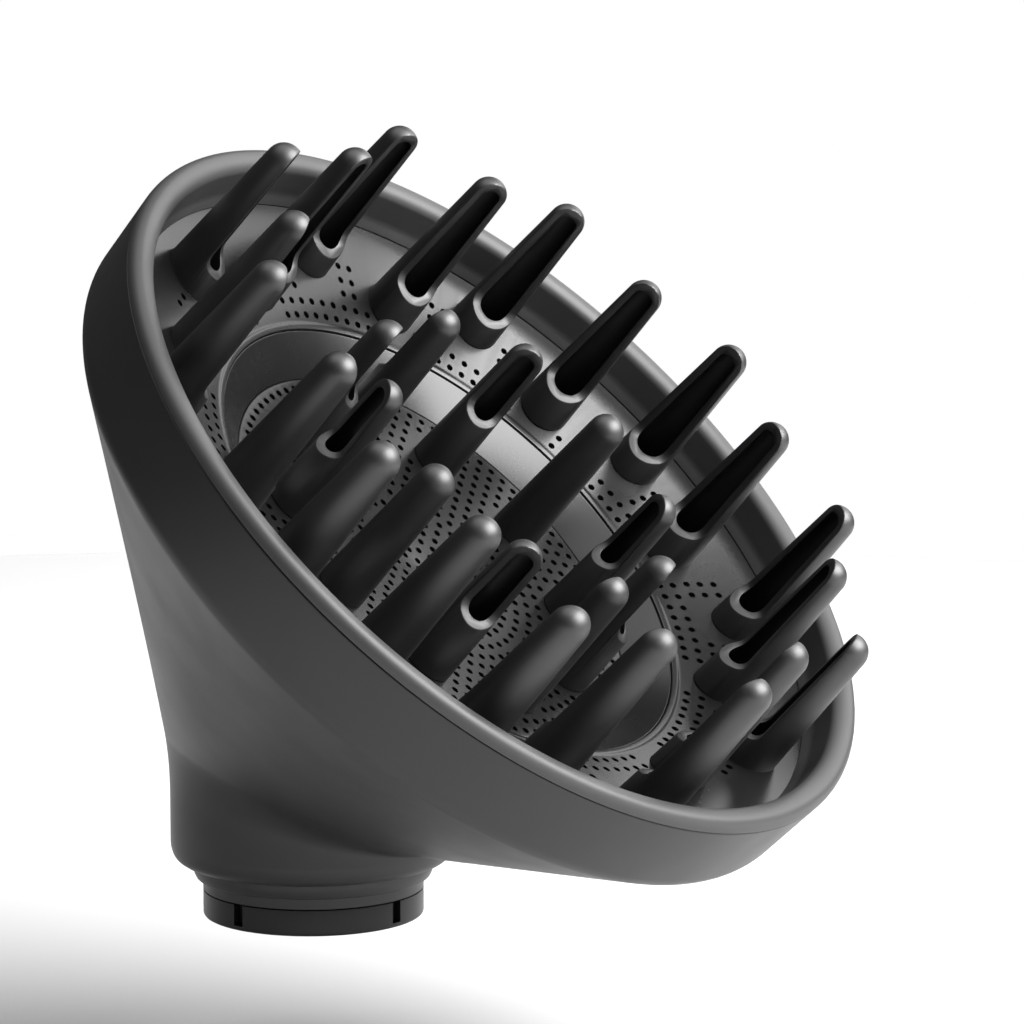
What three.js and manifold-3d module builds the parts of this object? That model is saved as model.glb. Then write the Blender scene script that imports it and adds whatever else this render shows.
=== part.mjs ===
// Hair-dryer diffuser for a straight styling wand. Millimetres, +Z up.
// The origin is on the neck axis, at the foot of the shell's shoulder. The dish leans towards +X.
import * as THREE from 'three';
import { mergeVertices } from 'three/addons/utils/BufferGeometryUtils.js';
import Module from 'manifold-3d';

const wasm = await Module();
wasm.setup();

// Driving dimensions. A height in the dish frame is measured along the dish axis from the rim seam.
const GAP = 0.3;                 // clearance between touching pieces
const ROUND = 40;                // sides of the large round pieces
const DISH_R = 61;               // dish radius at the rim seam
const DISH_TILT = 44.5;          // degrees from the neck axis to the dish axis
const DISH_X = 30.9;             // centre of the rim seam, from the neck axis
const DISH_Z = 57.8;             // centre of the rim seam, above the origin
const BAND_DEPTH = 11.6;         // side band, from the seam back to the funnel
const BAND_BACK_R = 60.3;
const BAND_BORE_R = 59.1;
const LEDGE_R = 57.6;            // ledge inside the band that the floor ring rests on
const LEDGE_H = -8;
const WALL = 1.8;
const NECK_R = 20;
const CREASE_H = 12.7;           // height where the funnel leaves the neck, at its middle
const CREASE_LEAN = 5.75;        // the crease is this much lower under the dish, and higher at the back
const CREASE_DIP = 1.6;          // it is this much lower front and back, and higher at the two sides
const COLLAR_BORE_R = 13.7;      // hole in the neck's floor for the connector's sleeve
const COLLAR_TOP = 4.9;
const COLLAR_CHAMFER = 1.4;      // the neck's floor rises this much from the collar to the wall
const SPIGOT_R = 15.5;
const SPIGOT_SEAM = -1.6;        // the shell's part of the spigot ends here
const SPIGOT_END = -5.4;
const SPIGOT_CHAMFER = 0.4;
const AIR_BORE_R = 12.2;
const BEAD = 0.9;                // snap bead at the top of the sleeve, beyond the sleeve's wall
const NOTCH_COUNT = 4;
const NOTCH_DEPTH = 1.2;
const NOTCH_WIDTH = 1.6;
const NOTCH_HEIGHT = 4;
const NOTCH_LOW = 0.7;           // from the spigot's end up to the notch
const NOTCH_PHASE = -9;          // degrees
const LIP_TOP_R = 59.6;          // crown of the lip
const LIP_INNER_R = 57.2;
const LIP_RISE = 1.5;
const LIP_WALL_END = -3.6;       // the lip's steep inner wall turns in to its foot here
const LIP_DRAFT = 0.1;           // the inner wall leans in by this much on the way down
const LIP_BOTTOM = -5.2;
const LIP_FOOT_R = 56.4;         // the lip's inner wall meets the floor here
const BOWL_R = 38;               // inner edge of the sloping floor
const BOWL_H = -11.1;
const FLOOR_SLOPE = 0.304;       // rise of the floor for each mm outwards
const PLATE = 1.5;               // thickness of the floor and the grille, along the dish axis
const FLANGE = 1.4;              // depth of the bowl's two flanges, behind the plates
const GRILLE_REST = 0.7;         // width of the flange's step that the grille lies on
const GRILLE_R = 32.6;
const GRILLE_EDGE_H = -15.5;
const GRILLE_SLOPE = 0.08;
const AIR_HOLE_R = 0.9;
const AIR_HOLE_SIDES = 4;
const FLOOR_HOLES_R = 41.2;      // circle of the air holes in the floor
const FLOOR_HOLES_SPREAD = 4;    // degrees from an outer finger to the hole on each side of it
const GRILLE_CIRCLES = [[30, 20], [16, 12], [7.5, 6]]; // radius and number of the grille's air holes
const FINGER_SIDES = 8;
const FINGER_PITCH = 36;         // degrees between fingers of one circle
const FINGER_PHASE = 3;
const WAIST = 0.55;              // the waist in the plate is this much smaller in radius than the base
const COLLAR = 0.35;             // the collar behind the plate is this much larger
const FINGER_ROOT_DEPTH = 3.9;   // the finger starts this far behind the plate's front face
const FINGER_TIP_R = 2.65;
const CAVITY_INSET = 1.1;        // the finger's hollow starts this much smaller in radius than the base
const CAVITY_TIP_R = 1.65;
const SLOT_FACE = 0.8;           // the open face of a slotted finger, from the finger's axis
const SLOT_FALL = 0.62;          // fall of the slot's lower end for each mm outwards from that face

// Each circle of fingers: circle radius, radius of a finger's base, height of the round tip's centre, and
// height where the slot starts on its open face.
const CIRCLES = {
  outer: { radius: 50, base: 3.95, tip: 14.5, slot: -2.9, offset: FINGER_PITCH / 2 },
  middle: { radius: 45, base: 3.95, tip: 14.5, slot: -3, offset: 0 },
  inner: { radius: 24.3, base: 3.5, tip: 4.7, slot: -4.8, offset: FINGER_PITCH / 2 },
};

// Stepped foot of the neck, from the spigot out to the neck's wall, as [radius, height].
const SHOULDER = [[SPIGOT_R, 0], [16.4, 0], [16.9, 1.1], [17, 2.2], [18.2, 2.2], [19.5, 3.1], [NECK_R, 4.6]];

const CROWN_STEPS = 3;           // facets of a quarter of the lip's rounded crown
const DRILL = 8;                 // a drill for a hole reaches this far either side of the plate
const OVERRUN = 1;               // other cutters run this far past what they cut

const radians = THREE.MathUtils.degToRad;

function floorHeight(radius) {
  return BOWL_H + FLOOR_SLOPE * (radius - BOWL_R);
}

function grilleHeight(radius) {
  return GRILLE_EDGE_H - GRILLE_SLOPE * (GRILLE_R - radius);
}

// A profile of [radius, height] points turned about +Z. It closes on the axis or on itself.
function turned(profile, sides = ROUND) {
  const points = profile.map(([radius, height]) => new THREE.Vector2(radius, height));
  return new THREE.LatheGeometry(points, sides).rotateX(Math.PI / 2);
}

function rod(radius, low, high, sides) {
  return turned([[0, low], [radius, low], [radius, high], [0, high]], sides);
}

// Turns a closed three.js geometry into a solid that can be joined and cut.
function solid(geometry) {
  const bare = geometry.clone();
  bare.deleteAttribute('normal');
  bare.deleteAttribute('uv');
  const merged = mergeVertices(bare);
  const position = merged.attributes.position;
  const corners = [0, 1, 2].map(() => new THREE.Vector3());
  const triangles = [];
  let volume = 0;
  for (let i = 0; i < merged.index.count; i += 3) {
    const ids = [0, 1, 2].map((k) => merged.index.getX(i + k));
    if (ids[0] === ids[1] || ids[1] === ids[2] || ids[2] === ids[0]) continue;
    corners.forEach((corner, k) => corner.fromBufferAttribute(position, ids[k]));
    volume += corners[0].dot(corners[1].clone().cross(corners[2]));
    triangles.push(ids);
  }
  if (volume < 0) triangles.forEach((ids) => ids.reverse());
  return new wasm.Manifold(new wasm.Mesh({
    numProp: 3,
    vertProperties: new Float32Array(position.array),
    triVerts: new Uint32Array(triangles.flat()),
  }));
}

function geometryOf(body) {
  const mesh = body.getMesh();
  const geometry = new THREE.BufferGeometry();
  geometry.setAttribute('position', new THREE.BufferAttribute(new Float32Array(mesh.vertProperties), 3));
  geometry.setIndex(new THREE.BufferAttribute(new Uint32Array(mesh.triVerts), 1));
  geometry.computeVertexNormals();
  return geometry;
}

function named(name, geometry, { color, roughness }) {
  const material = new THREE.MeshStandardMaterial({ color, roughness, metalness: 0 });
  const mesh = new THREE.Mesh(geometry, material);
  mesh.name = name;
  return mesh;
}

const SHELL_GREY = { color: 0x4c4d4f, roughness: 0.45 };
const LIP_GREY = { color: 0x5a5b5d, roughness: 0.4 };
const FLOOR_GREY = { color: 0x6a6b6d, roughness: 0.5 };
const FINGER_GREY = { color: 0x2b2c2e, roughness: 0.35 };
const CONNECTOR_GREY = { color: 0x343537, roughness: 0.4 };

const dishFrame = new THREE.Matrix4()
  .makeTranslation(DISH_X, 0, DISH_Z)
  .multiply(new THREE.Matrix4().makeRotationY(radians(DISH_TILT)));

// A ring is a function from an angle and a radius factor to a point. This one is level, round the neck.
function levelRing(radius, height) {
  return (angle, factor) => new THREE.Vector3(
    factor * radius * Math.cos(angle), factor * radius * Math.sin(angle), height,
  );
}

function dishRing(radius, height) {
  const level = levelRing(radius, height);
  return (angle, factor) => level(angle, factor).applyMatrix4(dishFrame);
}

// The line round the neck where the funnel starts: low under the dish and high at the back.
function creaseRing(radius, lift) {
  return (angle, factor) => {
    const height = CREASE_H - CREASE_LEAN * Math.cos(angle) - CREASE_DIP * Math.cos(2 * angle);
    return levelRing(radius, height + lift)(angle, factor);
  };
}

// A closed skin through a stack of rings, from a cylinder with one row of vertices for each ring.
function skinned(rings) {
  const rows = rings.length - 1;
  const geometry = new THREE.CylinderGeometry(1, 1, rows, ROUND, rows);
  const position = geometry.attributes.position;
  for (let i = 0; i < position.count; i += 1) {
    const ring = rings[Math.round(position.getY(i) + rows / 2)];
    const factor = Math.min(1, Math.round(Math.hypot(position.getX(i), position.getZ(i))));
    const side = Math.round((Math.atan2(position.getX(i), position.getZ(i)) * ROUND) / (2 * Math.PI));
    const point = ring((side * 2 * Math.PI) / ROUND, factor);
    position.setXYZ(i, point.x, point.y, point.z);
  }
  return geometry;
}

// Outer shell: neck with a stepped shoulder, funnel and side band, hollow from the neck to the rim.
function outerShell() {
  const skin = skinned([
    levelRing(SPIGOT_R, SPIGOT_SEAM), ...SHOULDER.map(([radius, height]) => levelRing(radius, height)),
    creaseRing(NECK_R, 0), dishRing(BAND_BACK_R, -BAND_DEPTH), dishRing(DISH_R, 0),
  ]);
  const hollow = skinned([
    levelRing(COLLAR_BORE_R, SPIGOT_SEAM - OVERRUN), levelRing(COLLAR_BORE_R, COLLAR_TOP),
    levelRing(NECK_R - WALL, COLLAR_TOP + COLLAR_CHAMFER), creaseRing(NECK_R - WALL, WALL),
    dishRing(LEDGE_R, -BAND_DEPTH), dishRing(LEDGE_R, LEDGE_H), dishRing(BAND_BORE_R, LEDGE_H),
    dishRing(BAND_BORE_R, OVERRUN),
  ]);
  return geometryOf(solid(skin).subtract(solid(hollow)));
}

// Connector: the spigot that plugs into the wand, with latch notches, and a sleeve that snaps into the neck.
function wandConnector() {
  const flangeTop = SPIGOT_SEAM - GAP;
  const sleeveR = COLLAR_BORE_R - GAP;
  const beadR = sleeveR + BEAD;
  const beadLow = COLLAR_TOP + GAP;
  const beadTop = beadLow + 1.5 * BEAD;
  const sleeveTop = beadLow + 3 * BEAD;
  let body = solid(turned([
    [AIR_BORE_R, SPIGOT_END], [SPIGOT_R - SPIGOT_CHAMFER, SPIGOT_END],
    [SPIGOT_R, SPIGOT_END + SPIGOT_CHAMFER], [SPIGOT_R, flangeTop], [sleeveR, flangeTop],
    [sleeveR, beadLow], [beadR, beadLow + GAP], [beadR, beadTop], [sleeveR - GAP, sleeveTop],
    [AIR_BORE_R, sleeveTop], [AIR_BORE_R, SPIGOT_END],
  ]));
  for (let i = 0; i < NOTCH_COUNT; i += 1) {
    const notch = new THREE.BoxGeometry(2 * NOTCH_DEPTH, NOTCH_WIDTH, NOTCH_HEIGHT)
      .translate(SPIGOT_R, 0, SPIGOT_END + NOTCH_LOW + NOTCH_HEIGHT / 2)
      .rotateZ(radians(NOTCH_PHASE + (360 / NOTCH_COUNT) * i));
    body = body.subtract(solid(notch));
  }
  return geometryOf(body);
}

// Quarter of an ellipse from [startR, low] up to [topR, low + rise], without its first point.
function quarterCrown(startR, topR, low, rise) {
  return Array.from({ length: CROWN_STEPS }, (_, i) => {
    const angle = (Math.PI / 2) * ((i + 1) / CROWN_STEPS);
    return [topR + (startR - topR) * Math.cos(angle), low + rise * Math.sin(angle)];
  });
}

// Front lip: a broad rounded rim over the shell's edge, and the inner wall down to the floor.
function frontLip() {
  const outer = quarterCrown(DISH_R, LIP_TOP_R, GAP, LIP_RISE);
  const inner = quarterCrown(LIP_INNER_R, LIP_TOP_R, GAP, LIP_RISE).slice(0, -1).reverse();
  const skirtR = BAND_BORE_R - GAP;
  return geometryOf(solid(turned([
    [DISH_R, GAP], ...outer, ...inner, [LIP_INNER_R, GAP], [LIP_INNER_R - LIP_DRAFT, LIP_WALL_END],
    [LIP_FOOT_R, LIP_BOTTOM], [skirtR, LIP_BOTTOM], [skirtR, GAP], [DISH_R, GAP],
  ])));
}

// Holes for one circle of fingers, through a plate whose surface is at the given height.
function fingerHoles(plate, { radius, base, offset }, height) {
  let drilled = plate;
  for (let i = 0; i < 360 / FINGER_PITCH; i += 1) {
    const hole = rod(base - WAIST + GAP, height - DRILL, height + DRILL, FINGER_SIDES)
      .translate(radius, 0, 0)
      .rotateZ(radians(FINGER_PHASE + offset + FINGER_PITCH * i));
    drilled = drilled.subtract(solid(hole));
  }
  return drilled;
}

// A circle of coarse four-sided air holes, evenly spaced from the first one's angle in degrees.
function airHoles(plate, radius, count, firstAngle, height) {
  let drilled = plate;
  for (let i = 0; i < count; i += 1) {
    const hole = rod(AIR_HOLE_R, height - DRILL, height + DRILL, AIR_HOLE_SIDES)
      .translate(radius, 0, 0)
      .rotateZ(radians(firstAngle + (360 / count) * i));
    drilled = drilled.subtract(solid(hole));
  }
  return drilled;
}

// Sloping outer floor, with a flat rim held between the shell's ledge and the lip.
function floorRing() {
  const rimR = BAND_BORE_R - GAP;
  const rimTop = LIP_BOTTOM - GAP;
  const rimBottom = LEDGE_H + GAP;
  const ring = solid(turned([
    [BOWL_R, BOWL_H], [BOWL_R, BOWL_H - PLATE], [LIP_FOOT_R, floorHeight(LIP_FOOT_R) - PLATE],
    [LEDGE_R - GAP, rimBottom], [rimR, rimBottom], [rimR, rimTop], [LIP_FOOT_R, rimTop], [BOWL_R, BOWL_H],
  ]));
  const { outer, middle } = CIRCLES;
  const forOuter = fingerHoles(ring, outer, floorHeight(outer.radius));
  const forMiddle = fingerHoles(forOuter, middle, floorHeight(middle.radius));
  const count = 360 / FINGER_PITCH;
  const first = FINGER_PHASE + outer.offset;
  const left = airHoles(forMiddle, FLOOR_HOLES_R, count, first - FLOOR_HOLES_SPREAD, BOWL_H);
  return geometryOf(airHoles(left, FLOOR_HOLES_R, count, first + FLOOR_HOLES_SPREAD, BOWL_H));
}

// Smooth steep band between the sloping floor and the grille, with a flange behind each.
function bowlRing() {
  const topR = BOWL_R - GAP;
  const flangeR = BOWL_R + FLANGE;
  const behind = (radius) => floorHeight(radius) - PLATE - GAP;
  const ledge = GRILLE_EDGE_H - PLATE - GAP;
  const ledgeR = GRILLE_R - GRILLE_REST;
  return geometryOf(solid(turned([
    [topR, BOWL_H], [GRILLE_R + GAP, GRILLE_EDGE_H], [GRILLE_R + GAP, ledge], [ledgeR, ledge],
    [ledgeR, ledge - FLANGE], [GRILLE_R + FLANGE, ledge - FLANGE], [flangeR, behind(flangeR) - FLANGE],
    [flangeR, behind(flangeR)], [topR, behind(topR)], [topR, BOWL_H],
  ])));
}

// Shallow perforated grille in the middle of the bowl.
function centreGrille() {
  const plate = solid(turned([
    [0, grilleHeight(0) - PLATE], [GRILLE_R, GRILLE_EDGE_H - PLATE], [GRILLE_R, GRILLE_EDGE_H],
    [0, grilleHeight(0)],
  ]));
  const { inner } = CIRCLES;
  let drilled = fingerHoles(plate, inner, grilleHeight(inner.radius));
  for (const [radius, count] of GRILLE_CIRCLES) {
    drilled = airHoles(drilled, radius, count, FINGER_PHASE + FINGER_PITCH / 4, GRILLE_EDGE_H);
  }
  return geometryOf(drilled);
}

// A hollow tapered finger with a round tip. Above its slot height the side that faces the dish's middle is
// open (facing -1), or the side that faces the rim (facing +1). Its waist follows the plate's slope, and
// the collar behind the plate is trimmed to the same slope.
function finger({ radius, base, tip, slot }, plateHeight, facing) {
  const seat = plateHeight(radius);
  const rootR = base + COLLAR;
  const rootLow = seat - FINGER_ROOT_DEPTH;
  const rootTop = seat - PLATE;
  const dome = [FINGER_TIP_R * Math.SQRT1_2, tip + FINGER_TIP_R * Math.SQRT1_2];
  const body = turned([
    [0, rootLow], [rootR, rootLow], [rootR, rootTop], [base, rootTop], [base, seat],
    [FINGER_TIP_R, tip], dome, [0, tip + FINGER_TIP_R],
  ], FINGER_SIDES);
  const cavity = turned([
    [0, rootLow - OVERRUN], [base - CAVITY_INSET, rootLow - OVERRUN], [CAVITY_TIP_R, tip],
    [0, tip + FINGER_TIP_R - CAVITY_TIP_R],
  ], FINGER_SIDES);
  const reach = rootR + OVERRUN;
  const top = tip + FINGER_TIP_R + OVERRUN;
  const slotCut = new THREE.BoxGeometry(reach, 2 * reach, 1).toNonIndexed();
  const edge = slotCut.attributes.position;
  for (let i = 0; i < edge.count; i += 1) {
    const fall = edge.getX(i) > 0 ? SLOT_FALL * reach : 0;
    edge.setZ(i, edge.getZ(i) > 0 ? top : slot - fall);
  }
  slotCut.translate(SLOT_FACE + reach / 2, 0, 0).rotateZ(facing > 0 ? 0 : Math.PI);
  const zone = new THREE.BoxGeometry(2 * reach, 2 * reach, 1).toNonIndexed();
  const corner = zone.attributes.position;
  for (let i = 0; i < corner.count; i += 1) {
    const surface = plateHeight(radius + Math.sign(corner.getX(i)) * reach);
    corner.setZ(i, corner.getZ(i) > 0 ? surface + GAP : surface - PLATE - GAP);
  }
  const core = rod(base - WAIST, rootLow, seat + reach, FINGER_SIDES);
  const groove = solid(zone).subtract(solid(core));
  const shape = solid(body).subtract(solid(cavity)).subtract(solid(slotCut)).subtract(groove);
  return geometryOf(shape).translate(0, 0, -seat);
}

// Ten numbered fingers of one circle. Every second inner finger opens towards the rim.
function fingerCircle(name, circle, plateHeight, alternate) {
  const group = new THREE.Group();
  const inwards = finger(circle, plateHeight, -1);
  const outwards = alternate ? finger(circle, plateHeight, 1) : inwards;
  for (let i = 0; i < 360 / FINGER_PITCH; i += 1) {
    const label = `${name}_finger_${String(i + 1).padStart(2, '0')}`;
    const mesh = named(label, i % 2 ? inwards : outwards, FINGER_GREY);
    mesh.position.set(circle.radius, 0, plateHeight(circle.radius));
    const arm = new THREE.Group();
    arm.rotation.z = radians(FINGER_PHASE + circle.offset + FINGER_PITCH * i);
    arm.add(mesh);
    group.add(arm);
  }
  return group;
}

const diffuser = new THREE.Group();
diffuser.add(named('outer_shell', outerShell(), SHELL_GREY));
diffuser.add(named('wand_connector', wandConnector(), CONNECTOR_GREY));

const dish = new THREE.Group();
dish.position.set(DISH_X, 0, DISH_Z);
dish.rotation.y = radians(DISH_TILT);
dish.add(named('front_lip_ring', frontLip(), LIP_GREY));
dish.add(named('floor_ring', floorRing(), FLOOR_GREY));
dish.add(named('bowl_ring', bowlRing(), FLOOR_GREY));
dish.add(named('centre_grille', centreGrille(), FLOOR_GREY));
dish.add(fingerCircle('outer', CIRCLES.outer, floorHeight, false));
dish.add(fingerCircle('middle', CIRCLES.middle, floorHeight, false));
dish.add(fingerCircle('inner', CIRCLES.inner, grilleHeight, true));
diffuser.add(dish);

export default diffuser;
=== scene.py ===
"""Looks of the hair-dryer diffuser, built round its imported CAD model. Lengths are in millimetres here
and become metres as each mesh is made. A height in the dish frame is measured from the rim seam."""
import math

import bmesh
import bpy
from mathutils import Matrix, Vector


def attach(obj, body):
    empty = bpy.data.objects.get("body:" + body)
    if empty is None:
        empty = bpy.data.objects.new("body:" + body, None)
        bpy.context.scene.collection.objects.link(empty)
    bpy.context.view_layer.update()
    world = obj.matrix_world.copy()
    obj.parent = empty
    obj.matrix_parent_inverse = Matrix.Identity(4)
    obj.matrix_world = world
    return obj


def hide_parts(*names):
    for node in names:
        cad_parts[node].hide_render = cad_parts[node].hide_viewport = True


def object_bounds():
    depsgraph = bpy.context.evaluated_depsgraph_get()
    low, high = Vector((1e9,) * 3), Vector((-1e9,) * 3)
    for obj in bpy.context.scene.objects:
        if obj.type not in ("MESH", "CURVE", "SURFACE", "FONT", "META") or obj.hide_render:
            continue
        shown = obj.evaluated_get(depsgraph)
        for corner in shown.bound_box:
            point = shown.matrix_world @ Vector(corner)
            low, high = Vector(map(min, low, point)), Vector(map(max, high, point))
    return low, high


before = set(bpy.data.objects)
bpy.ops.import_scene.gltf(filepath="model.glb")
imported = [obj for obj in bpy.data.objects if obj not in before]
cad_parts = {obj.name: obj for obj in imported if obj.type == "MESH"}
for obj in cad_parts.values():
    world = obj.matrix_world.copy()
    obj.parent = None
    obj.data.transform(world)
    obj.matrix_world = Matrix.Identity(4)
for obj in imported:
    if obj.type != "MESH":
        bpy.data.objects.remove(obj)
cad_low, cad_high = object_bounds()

MM = 0.001
TURN = 2 * math.pi

# Driving dimensions, as in the CAD model.
DISH_R = 61
DISH_TILT = 44.5
DISH_PLACE = Vector((30.9, 0, 57.8))
BAND_DEPTH = 11.6
BAND_BACK_R = 60.3
BAND_BORE_R = 59.1
LEDGE_R = 57.6
LEDGE_H = -8
WALL = 1.8
NECK_R = 20
CREASE_H = 12.7
CREASE_LEAN = 5.75
CREASE_DIP = 1.6
SHOULDER_TOP = 4.6
COLLAR_BORE_R = 13.7
COLLAR_TOP = 4.9
COLLAR_CHAMFER = 1.4
SPIGOT_R = 15.5
SPIGOT_SEAM = -1.6
SPIGOT_END = -5.4
CAD_GAP = 0.3
AIR_BORE_R = 12.2
BEAD = 0.9
NOTCH_COUNT = 4
NOTCH_DEPTH = 1.2
NOTCH_WIDTH = 1.6
NOTCH_HEIGHT = 4
NOTCH_LOW = 0.7
NOTCH_PHASE = -9
LIP_TOP_R = 59.6
LIP_INNER_R = 57.2
LIP_TOP_H = 1.8
LIP_WALL_END = -3.6
LIP_DRAFT = 0.1
LIP_BOTTOM = -5.2
LIP_FOOT_R = 56.4
BOWL_R = 38
BOWL_H = -11.1
FLOOR_SLOPE = 0.304
PLATE = 1.5
FLANGE = 1.4
GRILLE_REST = 0.7
GRILLE_R = 32.6
GRILLE_EDGE_H = -15.5
GRILLE_SLOPE = 0.08
FINGER_PITCH = 36
FINGER_PHASE = 3
WAIST = 0.55
COLLAR = 0.35
FINGER_ROOT_DEPTH = 3.9
FINGER_TIP_R = 2.65
CAVITY_INSET = 1.1
CAVITY_TIP_R = 1.65
SLOT_FACE = 0.8
SLOT_FALL = 0.62
FINGERS_IN_A_CIRCLE = 10
CIRCLES = {
    "outer": {"radius": 50, "base": 3.95, "tip": 14.5, "slot": -2.9, "offset": FINGER_PITCH / 2},
    "middle": {"radius": 45, "base": 3.95, "tip": 14.5, "slot": -3, "offset": 0},
    "inner": {"radius": 24.3, "base": 3.5, "tip": 4.7, "slot": -4.8, "offset": FINGER_PITCH / 2},
}

# Stepped foot of the neck between the spigot and the neck's wall, as (radius, height, rounding).
SHOULDER = [(16.4, 0, 0.3), (16.9, 1.1, 0.5), (17, 2.2, 0.35), (18.2, 2.2, 0.6), (19.5, 3.1, 0.7)]

# Finish of the fine surface.
SEAM = 0.1          # shadow line between the shell and the connector, and clearance of its sleeve
LIP_SEAM = 0.14     # shadow line between the shell and the lip
TOUCH = 0.06        # clearance where two pieces meet without a visible line
EDGE_BREAK = 0.1    # the floor's and the bowl's edges are eased by this much
BOWL_FLANGE_WIDTH = 1.5
BEAD_HEIGHT = 1.3   # the sleeve's snap bead, above its foot
SLEEVE_END = 2.8    # the sleeve ends this far above the foot of its bead
ROUND_SIDES = 240
FINGER_SIDES = 48
CORNER_STEPS = 4    # facets of a rounded corner
FINE_CORNER_STEPS = 8
FINGER_CORNER_STEPS = 3
CORNER_SHARE = 0.48 # a rounding takes at most this share of each edge beside it
CREASE_BLEND = 5    # largest rounding between the neck and the funnel
CREASE_SHARE = 0.9  # and its largest share of the neck's height above the shoulder
SHARP_DEGREES = 32  # a larger angle between faces shows as an edge
BEVEL_DEGREES = 40  # a larger angle between faces is rounded on the fingers
MERGE = 1e-7        # metres between points that are one point
TIP_TRIM = 0.05     # the smooth tips are this much smaller than the faceted ones that they replace
DOME_STEPS = 10     # facets of a quarter of a finger's round tip
CROWN_STEPS = 14    # facets of a quarter of the lip's rounded crown
CAVITY_FLATTEN = 0.8  # height of a hollow's round end, as a share of its radius
COLLAR_PLAY = 0.1   # room between a finger's collar and the back of its plate, beyond TOUCH
SLOT_CORNER = 1.3   # rounding between a slot's flat face and its sloping lower end
SLOT_REACH = 9      # a slot's cutter runs this far out of the finger
SOFT_EDGE = 0.12    # rounding of a slotted finger's cut edges
BOWL_BEAD_R = 0.7   # top of the fine bead round the bowl, outwards from the floor's inner edge
BOWL_BEAD_FOOT = 1.1
BOWL_BEAD_RISE = 0.12

# Air holes. The floor has long rows in front of each outer finger and short ones in the gaps beside it.
HOLE_SIDES = 12
HOLE_R = 0.52
HOLE_PITCH = 2.1
LONG_ROWS_R = (40.2, 42.3)
LONG_ROW_HALF = 4   # holes on each side of a long row's middle one
SHORT_ROWS_R = (44.6, 46.7, 48.9)
SHORT_ROW_START = 6.5  # degrees from the finger to the first hole of a short row
GRILLE_RINGS_R = 31.2  # the outermost ring of holes in the grille
GRILLE_RINGS_STEP = 2
FOOT_MARGIN = 0.9   # the grille has no hole this close to a finger's foot
DRILL = 8           # a drill for air holes reaches this far behind the surface
FLOOR_DRILL = 14    # and this far in front of the floor's inner edge
FINGER_DRILL = 6    # a drill for a finger's hole reaches this far either side of the plate

# Stage. Lengths here are in metres.
BOX_DISTANCE = 0.9  # from the object's middle to each softbox
KEY_BOX = {"direction": (0.77, 0.21, 0.6), "size": (0.9, 0.66), "glow": 16}
BACK_BOX = {"direction": (0.13, 0.88, 0.46), "size": (0.8, 0.36), "glow": 2.4}
SUN_STRENGTH = 1.4
SUN_WIDTH = 60      # degrees across, for soft shadows
ROOM_LIGHT = 0.08   # how strongly the white surroundings light the object
TABLE_DROP = 0.02   # from the spigot's end down to the table top
TABLE_R = 0.5
TABLE_SIDES = 128
TABLE_TONE = 0.62

# Camera, in millimetres.
CAMERA_PLACE = Vector((311.9, -475.5, 127.3))
CAMERA_AIM = Vector((23.1, 15.8, 51.1))
CAMERA_LENS = 144.9

DISH = Matrix.Translation(DISH_PLACE) @ Matrix.Rotation(math.radians(DISH_TILT), 4, "Y")


def floor_height(radius):
    return BOWL_H + FLOOR_SLOPE * (radius - BOWL_R)


def grille_height(radius):
    return GRILLE_EDGE_H - GRILLE_SLOPE * (GRILLE_R - radius)


def polar(radius, angle, height):
    return Vector((radius * math.cos(angle), radius * math.sin(angle), height))


def softened(corners, steps):
    """A closed line through (point, reach) corners, each corner rounded over its reach on both sides."""
    line = []
    for i, (corner, reach) in enumerate(corners):
        if reach == 0:
            line.append(corner)
            continue
        to_last = corners[i - 1][0] - corner
        to_next = corners[(i + 1) % len(corners)][0] - corner
        start = corner + to_last.normalized() * min(reach, CORNER_SHARE * to_last.length)
        end = corner + to_next.normalized() * min(reach, CORNER_SHARE * to_next.length)
        for k in range(steps + 1):
            t = k / steps
            line.append(start * (1 - t) ** 2 + corner * 2 * t * (1 - t) + end * t ** 2)
    return line


def swept_mesh(name, section, sides, steps=CORNER_STEPS, place=Matrix.Identity(4)):
    """A closed skin: section(angle) gives the corners of its outline at each angle round the axis."""
    lines = [softened(section(TURN * i / sides), steps) for i in range(sides)]
    count = len(lines[0])
    points = [place @ point * MM for line in lines for point in line]
    faces = []
    for i in range(sides):
        here = i * count
        there = ((i + 1) % sides) * count
        for k in range(count):
            after = (k + 1) % count
            faces.append((here + k, there + k, there + after, here + after))
    mesh = bpy.data.meshes.new(name)
    mesh.from_pydata(points, [], faces)
    clean(mesh)
    return mesh


def clean(mesh):
    """Merges points that coincide on the axis and turns every face outwards."""
    work = bmesh.new()
    work.from_mesh(mesh)
    bmesh.ops.remove_doubles(work, verts=work.verts, dist=MERGE)
    bmesh.ops.recalc_face_normals(work, faces=work.faces)
    work.to_mesh(mesh)
    work.free()
    mesh.update()


def turned_mesh(name, profile):
    """A ring in the dish frame from a closed profile of (radius, height, reach) corners."""
    def section(angle):
        return [(polar(radius, angle, height), reach) for radius, height, reach in profile]
    return swept_mesh(name, section, ROUND_SIDES, place=DISH)


def link(name, mesh):
    piece = bpy.data.objects.new(name, mesh)
    bpy.context.scene.collection.objects.link(piece)
    return piece


def cut(piece, cutter_mesh):
    """Takes the cutter's closed shapes out of the piece."""
    cutter = link("cutter", cutter_mesh)
    modifier = piece.modifiers.new("cut", "BOOLEAN")
    modifier.operation = "DIFFERENCE"
    modifier.solver = "MANIFOLD"
    modifier.object = cutter
    bpy.context.view_layer.update()
    evaluated = piece.evaluated_get(bpy.context.evaluated_depsgraph_get())
    mesh = bpy.data.meshes.new_from_object(evaluated)
    piece.modifiers.clear()
    piece.data = mesh
    bpy.data.objects.remove(cutter)


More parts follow.
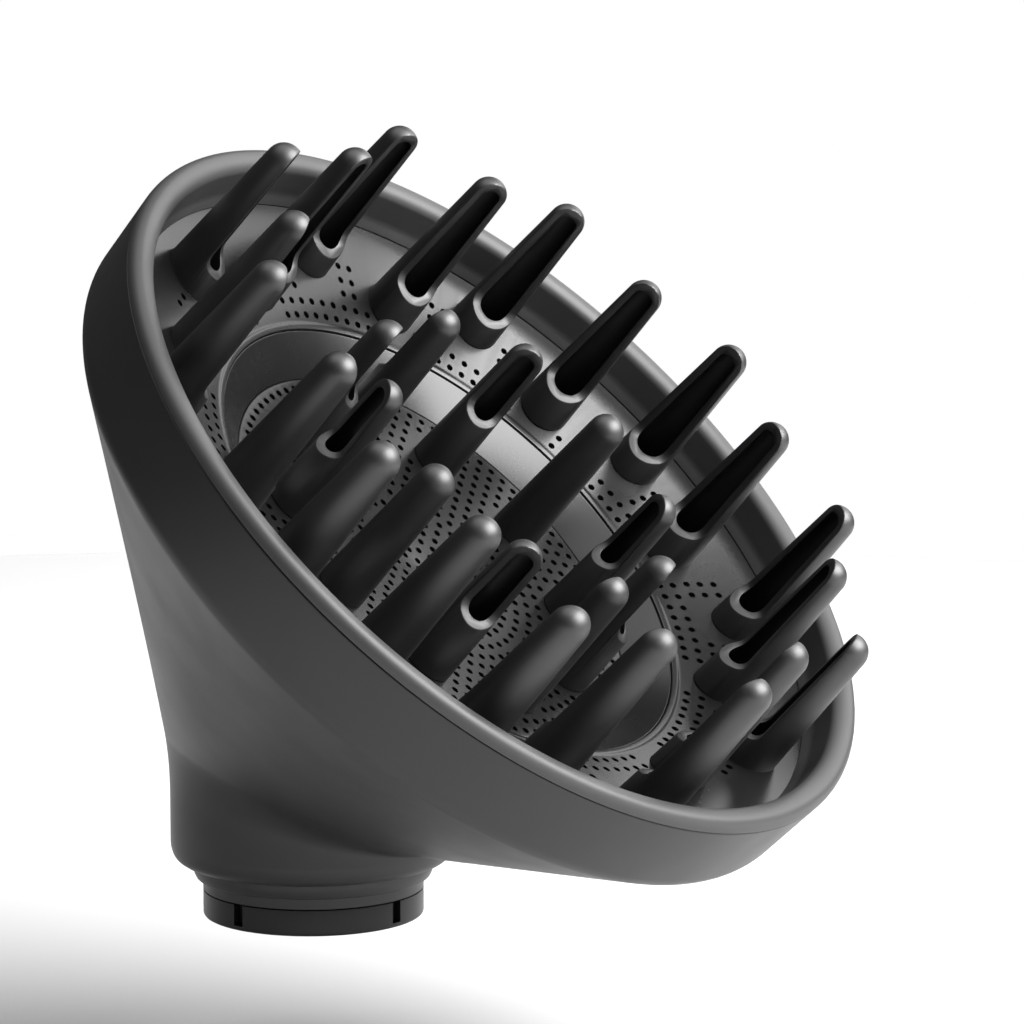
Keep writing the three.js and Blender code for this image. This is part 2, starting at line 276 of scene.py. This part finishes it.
def soften_edges(piece, width):
    """Rounds every sharp edge of the piece over the given width."""
    modifier = piece.modifiers.new("soft", "BEVEL")
    modifier.width = width * MM
    modifier.segments = 2
    modifier.limit_method = "ANGLE"
    modifier.angle_limit = math.radians(BEVEL_DEGREES)
    modifier.use_clamp_overlap = False
    evaluated = piece.evaluated_get(bpy.context.evaluated_depsgraph_get())
    mesh = bpy.data.meshes.new_from_object(evaluated)
    piece.modifiers.clear()
    piece.data = mesh
    clean(mesh)


def finish(piece, node, material):
    """Smooths the piece between its sharp edges, gives it its material, hangs it on the root body and
    hides the CAD part that it stands for.
    """
    mesh = piece.data
    mesh.shade_smooth()
    mesh.set_sharp_from_angle(angle=math.radians(SHARP_DEGREES))
    mesh.materials.clear()
    mesh.materials.append(material)
    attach(piece, "root")
    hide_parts(node)


# --- materials -----------------------------------------------------------------------------------

def plastic(name, colour, roughness, shine=0.5, smudged=0.03, coat=0.0):
    """Moulded plastic: fine texture, a slow drift of tone and of gloss, and edges rubbed lighter."""
    mottle = 0.06
    grain = 0.02
    wear = 0.25
    rubbed_colour = [c * 1.8 + 0.004 for c in colour]
    material = bpy.data.materials.new(name)
    material.use_nodes = True
    nodes = material.node_tree.nodes
    join = material.node_tree.links.new
    shader = nodes["Principled BSDF"]
    shader.inputs["Specular IOR Level"].default_value = shine
    shader.inputs["Coat Weight"].default_value = coat
    shader.inputs["Coat Roughness"].default_value = 0.12
    place = nodes.new("ShaderNodeTexCoord")

    drift = nodes.new("ShaderNodeTexNoise")
    drift.inputs["Scale"].default_value = 38
    drift.inputs["Detail"].default_value = 3
    join(place.outputs["Object"], drift.inputs["Vector"])
    tone = nodes.new("ShaderNodeValToRGB")
    tone.color_ramp.elements[0].position = 0.3
    tone.color_ramp.elements[0].color = (*[c * (1 - mottle) for c in colour], 1)
    tone.color_ramp.elements[1].position = 0.7
    tone.color_ramp.elements[1].color = (*[c * (1 + mottle) for c in colour], 1)
    join(drift.outputs["Fac"], tone.inputs["Fac"])

    edge = nodes.new("ShaderNodeNewGeometry")
    rubbed = nodes.new("ShaderNodeMapRange")
    rubbed.inputs["From Min"].default_value = 0.52
    rubbed.inputs["From Max"].default_value = 0.6
    rubbed.inputs["To Max"].default_value = wear
    join(edge.outputs["Pointiness"], rubbed.inputs["Value"])
    worn = nodes.new("ShaderNodeMix")
    worn.data_type = "RGBA"
    worn.inputs["B"].default_value = (*rubbed_colour, 1)
    join(rubbed.outputs["Result"], worn.inputs["Factor"])
    join(tone.outputs["Color"], worn.inputs["A"])
    join(worn.outputs["Result"], shader.inputs["Base Color"])

    smudge = nodes.new("ShaderNodeTexNoise")
    smudge.inputs["Scale"].default_value = 95
    smudge.inputs["Detail"].default_value = 5
    join(place.outputs["Object"], smudge.inputs["Vector"])
    gloss = nodes.new("ShaderNodeMapRange")
    gloss.inputs["From Min"].default_value = 0.3
    gloss.inputs["From Max"].default_value = 0.7
    gloss.inputs["To Min"].default_value = roughness - smudged
    gloss.inputs["To Max"].default_value = roughness + smudged
    join(smudge.outputs["Fac"], gloss.inputs["Value"])
    join(gloss.outputs["Result"], shader.inputs["Roughness"])

    texture = nodes.new("ShaderNodeTexNoise")
    texture.inputs["Scale"].default_value = 2600
    texture.inputs["Detail"].default_value = 2
    join(place.outputs["Object"], texture.inputs["Vector"])
    bump = nodes.new("ShaderNodeBump")
    bump.inputs["Strength"].default_value = 0.25
    bump.inputs["Distance"].default_value = grain * MM
    join(texture.outputs["Fac"], bump.inputs["Height"])
    join(bump.outputs["Normal"], shader.inputs["Normal"])
    return material


SHELL_PLASTIC = plastic("shell_plastic", (0.018, 0.018, 0.0184), 0.42, shine=0.45)
LIP_PLASTIC = plastic("lip_plastic", (0.034, 0.034, 0.0347), 0.5, shine=0.55)
FLOOR_PLASTIC = plastic("floor_plastic", (0.006, 0.006, 0.0062), 0.27, shine=0.5, smudged=0.01)
FINGER_PLASTIC = plastic("finger_plastic", (0.0013, 0.0013, 0.0014), 0.5, shine=1.0, coat=0.05)
CONNECTOR_PLASTIC = plastic("connector_plastic", (0.007, 0.007, 0.0072), 0.38, shine=0.3)


# --- outer shell ---------------------------------------------------------------------------------

def crease_height(angle):
    """Where the funnel leaves the neck: low under the dish and high at the back."""
    return CREASE_H - CREASE_LEAN * math.cos(angle) - CREASE_DIP * math.cos(2 * angle)


def shell_section(angle):
    """Up the outside from the spigot to the rim seam, and down the inside to the neck's floor."""
    def neck(radius, height, reach):
        return polar(radius, angle, height), reach

    def dish(radius, height, reach):
        return DISH @ polar(radius, angle, height), reach

    crease = crease_height(angle)
    blend = min(CREASE_BLEND, CREASE_SHARE * (crease - SHOULDER_TOP))
    return [
        neck(COLLAR_BORE_R, SPIGOT_SEAM, 0.2),
        neck(SPIGOT_R, SPIGOT_SEAM, 0.1),
        neck(SPIGOT_R, 0, 0.25),
        *[neck(*corner) for corner in SHOULDER],
        neck(NECK_R, SHOULDER_TOP, 0.7),
        neck(NECK_R, crease, blend),
        dish(BAND_BACK_R, -BAND_DEPTH, 1.3),
        dish(DISH_R, 0, 0.3),
        dish(BAND_BORE_R, 0, 0.2),
        dish(BAND_BORE_R, LEDGE_H, 0.2),
        dish(LEDGE_R, LEDGE_H, 0.3),
        dish(LEDGE_R, -BAND_DEPTH, 2),
        neck(NECK_R - WALL, crease + WALL, 3),
        neck(NECK_R - WALL, COLLAR_TOP + COLLAR_CHAMFER, 0.5),
        neck(COLLAR_BORE_R, COLLAR_TOP, 0.3),
    ]


def make_shell():
    shell = link("shell_skin", swept_mesh("shell_skin", shell_section, ROUND_SIDES, FINE_CORNER_STEPS))
    finish(shell, "outer_shell", SHELL_PLASTIC)


# --- front lip -----------------------------------------------------------------------------------

def quarter_crown(start_r):
    """Points of a quarter ellipse from the start radius, just above the seam, up to the lip's crown."""
    points = []
    for k in range(CROWN_STEPS + 1):
        angle = math.pi / 2 * k / CROWN_STEPS
        radius = LIP_TOP_R + (start_r - LIP_TOP_R) * math.cos(angle)
        points.append((radius, LIP_SEAM + (LIP_TOP_H - LIP_SEAM) * math.sin(angle), 0))
    return points


def make_lip():
    """The rounded rim over the shell's edge, with a shadow line under it and a steep inner wall."""
    skirt_r = BAND_BORE_R - TOUCH
    profile = [
        *quarter_crown(DISH_R)[:-1],
        *reversed(quarter_crown(LIP_INNER_R)),
        (LIP_INNER_R - LIP_DRAFT, LIP_WALL_END, 0.6),
        (LIP_FOOT_R, LIP_BOTTOM, 0.15),
        (skirt_r, LIP_BOTTOM, 0.1),
        (skirt_r, LIP_SEAM, 0),
    ]
    lip = link("rim_lip", turned_mesh("rim_lip", profile))
    finish(lip, "front_lip_ring", LIP_PLASTIC)


# --- floor, bowl and grille ----------------------------------------------------------------------

def rods_mesh(name, spots, sides=HOLE_SIDES):
    """Rods along the dish axis at (radius, degrees, low, high, rod radius) spots, as one mesh."""
    points = []
    faces = []
    for radius, degrees, low, high, rod_r in spots:
        centre = polar(radius, math.radians(degrees), 0)
        first = len(points)
        for height in (low, high):
            for k in range(sides):
                points.append(DISH @ (centre + polar(rod_r, TURN * k / sides, height)) * MM)
        faces.append([first + k for k in reversed(range(sides))])
        faces.append([first + sides + k for k in range(sides)])
        for k in range(sides):
            after = (k + 1) % sides
            faces.append((first + k, first + after, first + sides + after, first + sides + k))
    mesh = bpy.data.meshes.new(name)
    mesh.from_pydata(points, [], faces)
    return mesh


def finger_spots(circle, height):
    """Where one circle of fingers goes through its plate."""
    first = FINGER_PHASE + circle["offset"]
    hole_r = circle["base"] - WAIST + TOUCH
    low = height - FINGER_DRILL
    high = height + FINGER_DRILL
    return [
        (circle["radius"], first + FINGER_PITCH * i, low, high, hole_r)
        for i in range(FINGERS_IN_A_CIRCLE)
    ]


def floor_hole_spots():
    """Two long rows in front of each outer finger, and short rows of two in the gaps beside it."""
    spots = []
    low = BOWL_H - DRILL
    high = BOWL_H + FLOOR_DRILL
    pitch = math.degrees(HOLE_PITCH / LONG_ROWS_R[0])
    for i in range(FINGERS_IN_A_CIRCLE):
        middle = FINGER_PHASE + CIRCLES["outer"]["offset"] + FINGER_PITCH * i
        for radius in LONG_ROWS_R:
            for k in range(-LONG_ROW_HALF, LONG_ROW_HALF + 1):
                spots.append((radius, middle + pitch * k, low, high, HOLE_R))
        for radius in SHORT_ROWS_R:
            for side in (-1, 1):
                for step in (0, 1):
                    angle = side * (SHORT_ROW_START + math.degrees(HOLE_PITCH * step / radius))
                    spots.append((radius, middle + angle, low, high, HOLE_R))
    return spots


def make_floor():
    """The sloping perforated floor, with a fine raised bead at its inner edge."""
    rim_r = BAND_BORE_R - TOUCH
    rim_top = LIP_BOTTOM - TOUCH
    rim_bottom = LEDGE_H + TOUCH
    bead_r = BOWL_R + BOWL_BEAD_R
    bead_foot_r = BOWL_R + BOWL_BEAD_FOOT
    profile = [
        (BOWL_R, BOWL_H + EDGE_BREAK, 0.15),
        (BOWL_R, BOWL_H - PLATE, 0.1),
        (LIP_FOOT_R, floor_height(LIP_FOOT_R) - PLATE, 0),
        (LEDGE_R - CAD_GAP, rim_bottom, 0),
        (rim_r, rim_bottom, 0.1),
        (rim_r, rim_top, 0.1),
        (LIP_FOOT_R + EDGE_BREAK, rim_top, 0.1),
        (bead_foot_r, floor_height(bead_foot_r), 0.3),
        (bead_r, floor_height(bead_r) + BOWL_BEAD_RISE, 0.2),
    ]
    floor = link("dish_floor", turned_mesh("dish_floor", profile))
    spots = finger_spots(CIRCLES["outer"], floor_height(CIRCLES["outer"]["radius"]))
    spots += finger_spots(CIRCLES["middle"], floor_height(CIRCLES["middle"]["radius"]))
    cut(floor, rods_mesh("finger_holes", spots, FINGER_SIDES))
    cut(floor, rods_mesh("air_holes", floor_hole_spots()))
    finish(floor, "floor_ring", FLOOR_PLASTIC)


def make_bowl():
    """The smooth steep band between floor and grille, with its flanges behind them."""
    top_r = BOWL_R - TOUCH
    flange_r = BOWL_R + BOWL_FLANGE_WIDTH
    ledge = GRILLE_EDGE_H - PLATE - TOUCH
    ledge_r = GRILLE_R - GRILLE_REST

    def behind(radius):
        return floor_height(radius) - PLATE - TOUCH

    profile = [
        (top_r, BOWL_H - EDGE_BREAK, 0.25),
        (GRILLE_R + TOUCH, GRILLE_EDGE_H, 0.1),
        (GRILLE_R + TOUCH, ledge, 0),
        (ledge_r, ledge, 0.1),
        (ledge_r, ledge - FLANGE, 0.2),
        (GRILLE_R + FLANGE, ledge - FLANGE, 0.4),
        (flange_r, behind(flange_r) - FLANGE, 0.4),
        (flange_r, behind(flange_r), 0.1),
        (top_r, behind(top_r), 0),
    ]
    bowl = link("bowl_wall", turned_mesh("bowl_wall", profile))
    finish(bowl, "bowl_ring", FLOOR_PLASTIC)


def grille_hole_spots():
    """Rings of holes from the edge to the middle, without those that a finger's foot covers."""
    inner = CIRCLES["inner"]
    foot = Vector((inner["radius"], 0, 0))
    low = GRILLE_EDGE_H - DRILL
    high = GRILLE_EDGE_H + DRILL
    half_pitch = FINGER_PITCH / 2
    spots = []
    radius = GRILLE_RINGS_R
    while radius > 1:
        count = round(TURN * radius / HOLE_PITCH)
        for k in range(count):
            degrees = FINGER_PHASE + 360 * k / count
            turned = degrees - FINGER_PHASE - inner["offset"]
            from_finger = (turned + half_pitch) % FINGER_PITCH - half_pitch
            spot = polar(radius, math.radians(from_finger), 0)
            if (spot - foot).length > inner["base"] + FOOT_MARGIN:
                spots.append((radius, degrees, low, high, HOLE_R))
        radius -= GRILLE_RINGS_STEP
    spots.append((0, 0, low, high, HOLE_R))
    return spots


def make_grille():
    profile = [
        (0, grille_height(0) - PLATE, 0),
        (GRILLE_R, GRILLE_EDGE_H - PLATE, 0.1),
        (GRILLE_R, GRILLE_EDGE_H, 0.2),
        (0, grille_height(0), 0),
    ]
    grille = link("centre_plate", turned_mesh("centre_plate", profile))
    inner = CIRCLES["inner"]
    spots = finger_spots(inner, grille_height(inner["radius"]))
    cut(grille, rods_mesh("finger_holes", spots, FINGER_SIDES))
    cut(grille, rods_mesh("air_holes", grille_hole_spots()))
    finish(grille, "centre_grille", FLOOR_PLASTIC)


# --- fingers -------------------------------------------------------------------------------------

def box_mesh(name, low, high):
    """A closed box between two corners, in millimetres."""
    mesh = bpy.data.meshes.new(name)
    work = bmesh.new()
    bmesh.ops.create_cube(work, size=1)
    for vertex in work.verts:
        vertex.co = Vector([low[k] if vertex.co[k] < 0 else high[k] for k in range(3)]) * MM
    work.to_mesh(mesh)
    work.free()
    return mesh


def slot_mesh(name, low, top, facing):
    """A prism that opens a finger's side: flat down the slot, then rounded into a lower end that falls
    outwards."""
    reach = SLOT_REACH
    outline = softened([
        (Vector((SLOT_FACE, top)), 0),
        (Vector((SLOT_FACE, low)), SLOT_CORNER),
        (Vector((reach, low - SLOT_FALL * (reach - SLOT_FACE))), 0),
        (Vector((reach, top)), 0),
    ], FINE_CORNER_STEPS)
    count = len(outline)
    points = [Vector((facing * p.x, side, p.y)) * MM for side in (-reach, reach) for p in outline]
    faces = [list(range(count)), list(range(count, 2 * count))]
    for k in range(count):
        after = (k + 1) % count
        faces.append((k, after, count + after, count + k))
    mesh = bpy.data.meshes.new(name)
    mesh.from_pydata(points, [], faces)
    clean(mesh)
    return mesh


def finger_mesh(name, circle, plate_height, facing):
    """A hollow tapered finger, standing on its own seat, with one side open from the slot's lower end up
    through the round tip. Its foot and its collar follow the slope of the plate."""
    seat = plate_height(circle["radius"])
    tip = circle["tip"] - seat
    base_r = circle["base"]
    core_r = base_r - WAIST
    root_r = base_r + COLLAR
    root = -FINGER_ROOT_DEPTH
    collar = -PLATE - TOUCH - COLLAR_PLAY
    tip_r = FINGER_TIP_R - TIP_TRIM

    def section(angle):
        lean = plate_height(circle["radius"] + math.cos(angle)) - seat
        corners = [
            (polar(base_r - CAVITY_INSET, angle, root), 0.1),
            (polar(root_r, angle, root), 0.3),
            (polar(root_r, angle, collar + lean * root_r), 0.1),
            (polar(core_r, angle, collar + lean * core_r), 0),
            (polar(core_r, angle, TOUCH + lean * core_r), 0),
            (polar(base_r, angle, TOUCH + lean * base_r), 0.15),
        ]
        for k in range(DOME_STEPS + 1):
            rise = math.pi / 2 * k / DOME_STEPS
            radius = tip_r * math.cos(rise)
            corners.append((polar(radius, angle, tip + tip_r * math.sin(rise)), 0))
        for k in range(DOME_STEPS + 1):
            rise = math.pi / 2 * (1 - k / DOME_STEPS)
            radius = CAVITY_TIP_R * math.cos(rise)
            height = tip + CAVITY_FLATTEN * CAVITY_TIP_R * math.sin(rise)
            corners.append((polar(radius, angle, height), 0))
        return corners

    piece = link(name, swept_mesh(name, section, FINGER_SIDES, FINGER_CORNER_STEPS))
    cut(piece, slot_mesh("slot_cut", circle["slot"] - seat, tip + SLOT_REACH, facing))
    soften_edges(piece, SOFT_EDGE)
    mesh = piece.data
    bpy.data.objects.remove(piece)
    return mesh


def make_fingers(name, plate_height, alternate):
    """One circle of fingers, open towards the middle, or with every other one open towards the rim."""
    circle = CIRCLES[name]
    shapes = [finger_mesh(f"{name}_finger_in", circle, plate_height, -1)]
    if alternate:
        shapes.insert(0, finger_mesh(f"{name}_finger_out", circle, plate_height, 1))
    for i in range(FINGERS_IN_A_CIRCLE):
        mesh = shapes[i % len(shapes)].copy()
        turn = math.radians(FINGER_PHASE + circle["offset"] + FINGER_PITCH * i)
        seat = Matrix.Translation((circle["radius"], 0, plate_height(circle["radius"])))
        place = DISH @ Matrix.Rotation(turn, 4, "Z") @ seat
        place.translation *= MM
        mesh.transform(place)
        piece = link(f"{name}_prong_{i + 1:02d}", mesh)
        node = f"{name}_finger_{i + 1:02d}"
        finish(piece, node, FINGER_PLASTIC)


# --- connector -----------------------------------------------------------------------------------

def make_connector():
    """The spigot with its latch notches, and the sleeve that snaps into the neck."""
    flange_top = SPIGOT_SEAM - SEAM
    sleeve_r = COLLAR_BORE_R - SEAM
    bead_low = COLLAR_TOP + CAD_GAP
    bead_top = bead_low + BEAD_HEIGHT
    sleeve_top = bead_low + SLEEVE_END

    def section(angle):
        corners = [
            (AIR_BORE_R, SPIGOT_END, 0.4),
            (SPIGOT_R, SPIGOT_END, 0.5),
            (SPIGOT_R, flange_top, 0.1),
            (sleeve_r, flange_top, 0.1),
            (sleeve_r, bead_low, 0.1),
            (sleeve_r + BEAD, bead_low + CAD_GAP, 0.2),
            (sleeve_r + BEAD, bead_top, 0.3),
            (sleeve_r - CAD_GAP, sleeve_top, 0.2),
            (AIR_BORE_R, sleeve_top, 0.2),
        ]
        return [(polar(radius, angle, height), reach) for radius, height, reach in corners]

    connector = link("wand_plug", swept_mesh("wand_plug", section, ROUND_SIDES))
    low = SPIGOT_END + NOTCH_LOW
    inner_corner = (SPIGOT_R - NOTCH_DEPTH, -NOTCH_WIDTH / 2, low)
    outer_corner = (SPIGOT_R + NOTCH_DEPTH, NOTCH_WIDTH / 2, low + NOTCH_HEIGHT)
    for i in range(NOTCH_COUNT):
        notch = box_mesh("notch", inner_corner, outer_corner)
        notch.transform(Matrix.Rotation(math.radians(NOTCH_PHASE + 360 / NOTCH_COUNT * i), 4, "Z"))
        cut(connector, notch)
    finish(connector, "wand_connector", CONNECTOR_PLASTIC)


# --- stage ---------------------------------------------------------------------------------------

def make_stage():
    """A plain pale round table top, a little below the part, which hangs from its wand and can't stand."""
    mesh = bpy.data.meshes.new("studio_floor")
    low = cad_low.z - TABLE_DROP
    corners = [polar(TABLE_R, TURN * k / TABLE_SIDES, low) for k in range(TABLE_SIDES)]
    mesh.from_pydata(corners, [], [list(range(TABLE_SIDES))])
    floor = link("studio_floor", mesh)
    material = bpy.data.materials.new("studio_floor")
    material.use_nodes = True
    shader = material.node_tree.nodes["Principled BSDF"]
    shader.inputs["Base Color"].default_value = (TABLE_TONE, TABLE_TONE, TABLE_TONE, 1)
    shader.inputs["Roughness"].default_value = 0.9
    mesh.materials.append(material)


def add_light(name, kind, place, aim):
    """A light at a place that shines on the aim, and that the camera doesn't see."""
    data = bpy.data.lights.new(name, kind)
    light = bpy.data.objects.new(name, data)
    bpy.context.scene.collection.objects.link(light)
    light.location = place
    light.rotation_euler = (Vector(aim) - Vector(place)).to_track_quat("-Z", "Y").to_euler()
    light.visible_camera = False
    return data


def soft_box(name, direction, size, glow):
    """A rectangular light in a direction from the object's middle, with the given surface radiance."""
    centre = (cad_low + cad_high) / 2
    data = add_light(name, "AREA", centre + BOX_DISTANCE * Vector(direction).normalized(), centre)
    data.shape = "RECTANGLE"
    data.size, data.size_y = size
    data.energy = glow * math.pi * size[0] * size[1]


def make_lights():
    """A key softbox high on the right, a dim one behind, and a broad light from above. The surroundings
    are white where the camera sees them, and light the object only dimly."""
    top = add_light("top_light", "SUN", (0, 0, 2), (0, 0, 0))
    top.energy = SUN_STRENGTH
    top.angle = math.radians(SUN_WIDTH)
    soft_box("key_box", **KEY_BOX)
    soft_box("back_box", **BACK_BOX)
    world = bpy.data.worlds.new("studio")
    world.use_nodes = True
    tree = world.node_tree
    seen = tree.nodes["Background"]
    seen.inputs["Color"].default_value = (1, 1, 1, 1)
    seen.inputs["Strength"].default_value = 1.0
    lighting = tree.nodes.new("ShaderNodeBackground")
    lighting.inputs["Color"].default_value = (1, 1, 1, 1)
    lighting.inputs["Strength"].default_value = ROOM_LIGHT
    path = tree.nodes.new("ShaderNodeLightPath")
    mix = tree.nodes.new("ShaderNodeMixShader")
    tree.links.new(path.outputs["Is Camera Ray"], mix.inputs["Fac"])
    tree.links.new(lighting.outputs["Background"], mix.inputs[1])
    tree.links.new(seen.outputs["Background"], mix.inputs[2])
    tree.links.new(mix.outputs["Shader"], tree.nodes["World Output"].inputs["Surface"])
    bpy.context.scene.world = world


def make_camera():
    data = bpy.data.cameras.new("camera")
    data.sensor_width = 36
    data.lens = CAMERA_LENS
    data.clip_start = 0.05
    data.clip_end = 50
    camera = bpy.data.objects.new("camera", data)
    bpy.context.scene.collection.objects.link(camera)
    camera.location = CAMERA_PLACE * MM
    camera.rotation_euler = (CAMERA_AIM - CAMERA_PLACE).to_track_quat("-Z", "Y").to_euler()
    bpy.context.scene.camera = camera


make_camera()
make_shell()
make_lip()
make_floor()
make_bowl()
make_grille()
make_fingers("outer", floor_height, False)
make_fingers("middle", floor_height, False)
make_fingers("inner", grille_height, True)
make_connector()
make_stage()
make_lights()
bpy.context.scene.view_settings.view_transform = "Standard"

bpy.context.view_layer.update()
